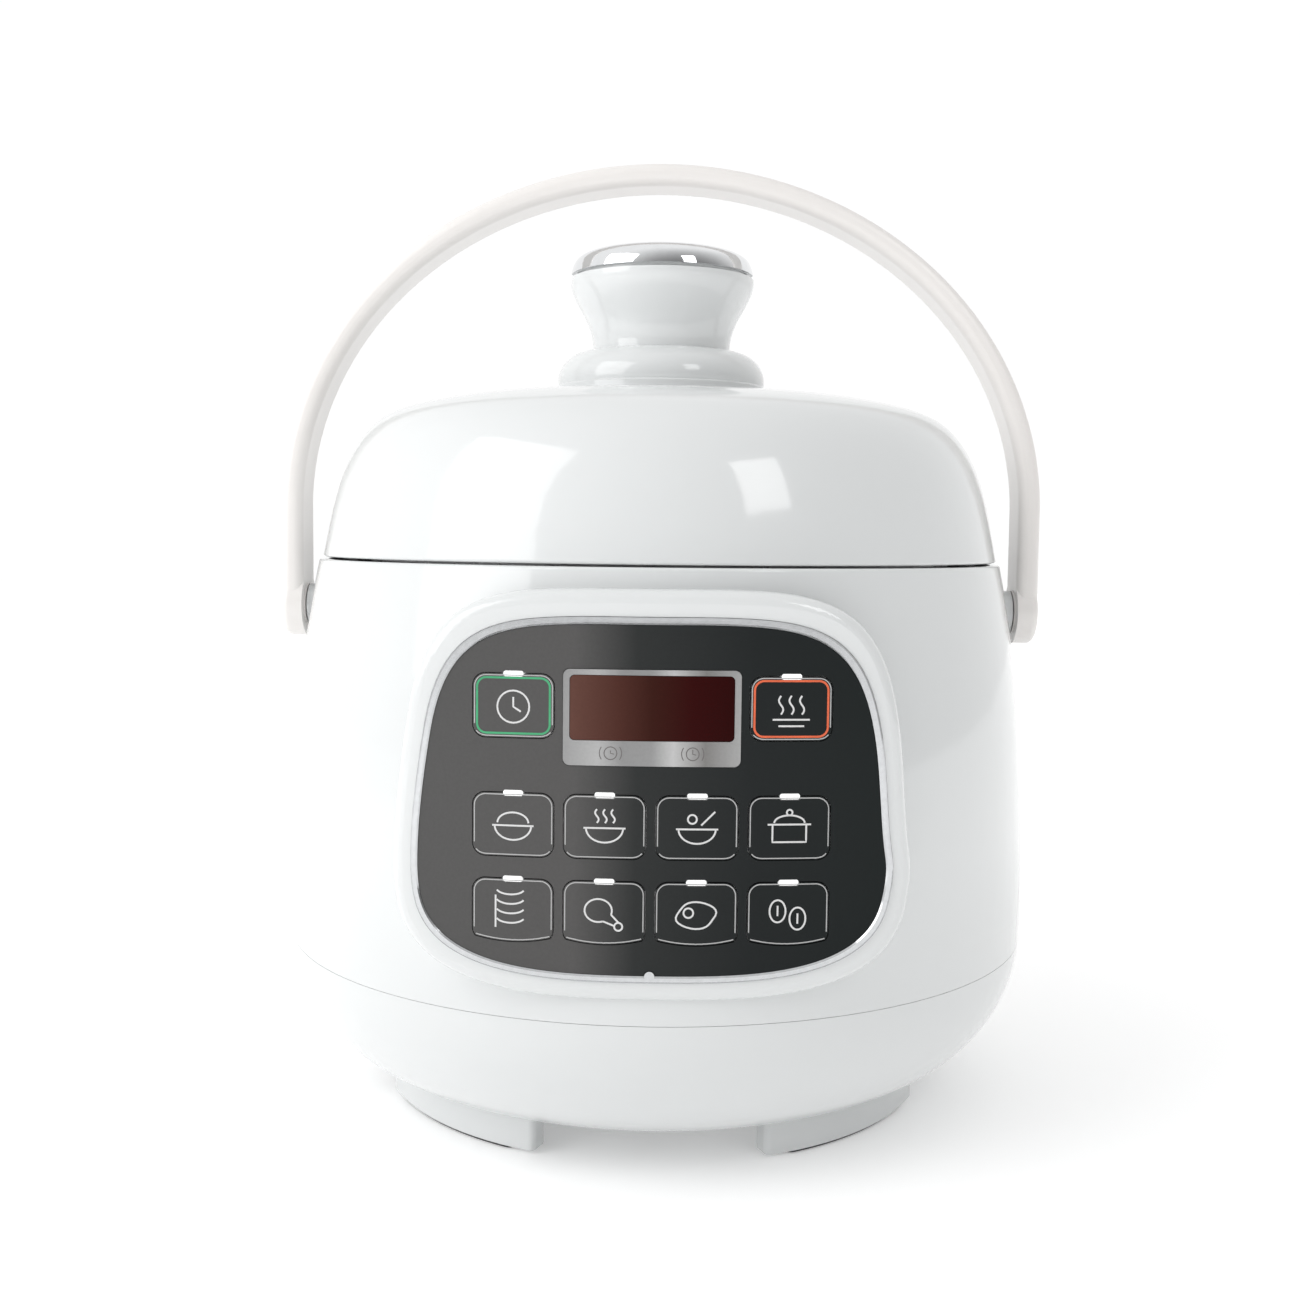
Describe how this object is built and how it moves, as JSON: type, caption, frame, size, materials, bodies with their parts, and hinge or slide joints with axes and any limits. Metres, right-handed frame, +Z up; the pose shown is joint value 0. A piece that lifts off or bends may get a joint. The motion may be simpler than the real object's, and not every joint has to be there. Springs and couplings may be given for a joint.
{
  "type": "electric pressure cooker",
  "caption": "Compact electric pressure cooker with a twist-and-lift lid, carry handle, control panel with keys and display, inner pot and heating base.",
  "frame": {"origin": "on the floor, under the centre of the cooker, on its upright axis", "axes": "+Z up, -Y towards the control panel, +X to the right seen from the front"},
  "size_m": [0.2282, 0.2266, 0.2733],
  "materials": {
    "white_shell": "glossy moulded plastic",
    "grey_plastic": "satin",
    "warm_white_handle": "satin gloss",
    "foot_rubber": "matt",
    "silicone": "translucent matt",
    "galvanised_steel": "dull",
    "stainless_steel": "brushed",
    "cast_aluminium": "machined",
    "element_sheath": "dull",
    "nonstick_pot": "non-stick coating",
    "board_parts": "satin",
    "circuit_board": "solder resist",
    "chrome_trim": "polished",
    "gloss_black": "high gloss",
    "brushed_silver": "brushed",
    "dark_window": "tinted",
    "light_white": "diffusing",
    "inlet_black": "satin",
    "contact_brass": "plated",
    "bush_plastic": "acetal",
    "screw_steel": "plated"
  },
  "bodies": {
    "base": {"outer_housing": "white_shell", "base_shell": "white_shell", "rim_cover": "grey_plastic", "foot_pads": "foot_rubber", "heat_shield": "galvanised_steel", "locking_ring": "stainless_steel", "sensor_bracket": "galvanised_steel", "sensor_spring": "stainless_steel", "heating_plate": "cast_aluminium", "heating_element": "element_sheath", "thermal_fuse": "board_parts", "pressure_switch": "board_parts", "power_board": "circuit_board", "control_board": "circuit_board", "power_board_parts": "board_parts", "push_switches": "board_parts", "display_module": "board_parts", "panel_frame": "chrome_trim", "panel_plate": "gloss_black", "display_bezel": "brushed_silver", "display_window": "dark_window", "light_pipes": "light_white", "power_inlet": "inlet_black", "inlet_contacts": "contact_brass", "handle_bushes": "bush_plastic", "base_screws": "screw_steel", "ring_screws": "screw_steel", "control_board_screws": "screw_steel", "power_board_screws": "screw_steel", "inlet_screws": "screw_steel", "heater_screws": "screw_steel"},
    "handle": {"carry_handle": "warm_white_handle", "handle_pins": "stainless_steel", "handle_clips": "stainless_steel"},
    "seal": {"sealing_ring": "silicone"},
    "lid": {"lid_cover": "white_shell", "lid_base_ring": "grey_plastic", "lid_plate": "stainless_steel", "vent_tube": "stainless_steel", "vent_shield": "stainless_steel", "knob_flange": "white_shell", "knob_body": "white_shell", "knob_nut": "stainless_steel", "cap_spring": "stainless_steel", "lid_plate_screws": "screw_steel"},
    "cap": {"pressure_cap": "chrome_trim"},
    "float": {"float_valve": "stainless_steel", "float_seal": "silicone"},
    "pot": {"inner_pot": "nonstick_pot"},
    "sensor": {"temperature_sensor": "cast_aluminium"},
    "key_top_left": {"key_top_left": "gloss_black"},
    "key_top_right": {"key_top_right": "gloss_black"},
    "key_middle_1": {"key_middle_1": "gloss_black"},
    "key_middle_2": {"key_middle_2": "gloss_black"},
    "key_middle_3": {"key_middle_3": "gloss_black"},
    "key_middle_4": {"key_middle_4": "gloss_black"},
    "key_bottom_1": {"key_bottom_1": "gloss_black"},
    "key_bottom_2": {"key_bottom_2": "gloss_black"},
    "key_bottom_3": {"key_bottom_3": "gloss_black"},
    "key_bottom_4": {"key_bottom_4": "gloss_black"}
  },
  "joints": [
    {"name": "handle_fold", "type": "hinge", "parent": "base", "child": "handle", "pos_m": [0, 0, 0.1415], "axis": [1, 0, 0], "range_deg": [-90, 90]},
    {"name": "lid_lift", "type": "slide", "parent": "base", "child": "seal", "axis": [0, 0, 1], "range_m": [0, 0.012]},
    {"name": "lid_turn", "type": "hinge", "parent": "seal", "child": "lid", "pos_m": [0, 0, 0.158], "axis": [0, 0, 1], "range_deg": [0, 30]},
    {"name": "cap_press", "type": "slide", "parent": "lid", "child": "cap", "axis": [0, 0, -1], "range_m": [0, 0.001], "stiffness_N_per_m": 1200, "deforming": ["cap_spring"]},
    {"name": "float_rise", "type": "slide", "parent": "lid", "child": "float", "axis": [0, 0, 1], "range_m": [0, 0.0035]},
    {"name": "pot_turn", "type": "hinge", "parent": "base", "child": "pot", "pos_m": [0, 0, 0.1], "axis": [0, 0, 1], "continuous": true},
    {"name": "sensor_press", "type": "slide", "parent": "base", "child": "sensor", "axis": [0, 0, -1], "range_m": [0, 0.0015], "stiffness_N_per_m": 600, "deforming": ["sensor_spring"]},
    {"name": "key_top_left_press", "type": "slide", "parent": "base", "child": "key_top_left", "axis": [0, 1, 0], "range_m": [0, 0.0006], "stiffness_N_per_m": 800},
    {"name": "key_top_right_press", "type": "slide", "parent": "base", "child": "key_top_right", "axis": [0, 1, 0], "range_m": [0, 0.0006], "stiffness_N_per_m": 800},
    {"name": "key_middle_1_press", "type": "slide", "parent": "base", "child": "key_middle_1", "axis": [0, 1, 0], "range_m": [0, 0.0006], "stiffness_N_per_m": 800},
    {"name": "key_middle_2_press", "type": "slide", "parent": "base", "child": "key_middle_2", "axis": [0, 1, 0], "range_m": [0, 0.0006], "stiffness_N_per_m": 800},
    {"name": "key_middle_3_press", "type": "slide", "parent": "base", "child": "key_middle_3", "axis": [0, 1, 0], "range_m": [0, 0.0006], "stiffness_N_per_m": 800},
    {"name": "key_middle_4_press", "type": "slide", "parent": "base", "child": "key_middle_4", "axis": [0, 1, 0], "range_m": [0, 0.0006], "stiffness_N_per_m": 800},
    {"name": "key_bottom_1_press", "type": "slide", "parent": "base", "child": "key_bottom_1", "axis": [0, 1, 0], "range_m": [0, 0.0006], "stiffness_N_per_m": 800},
    {"name": "key_bottom_2_press", "type": "slide", "parent": "base", "child": "key_bottom_2", "axis": [0, 1, 0], "range_m": [0, 0.0006], "stiffness_N_per_m": 800},
    {"name": "key_bottom_3_press", "type": "slide", "parent": "base", "child": "key_bottom_3", "axis": [0, 1, 0], "range_m": [0, 0.0006], "stiffness_N_per_m": 800},
    {"name": "key_bottom_4_press", "type": "slide", "parent": "base", "child": "key_bottom_4", "axis": [0, 1, 0], "range_m": [0, 0.0006], "stiffness_N_per_m": 800}
  ]
}
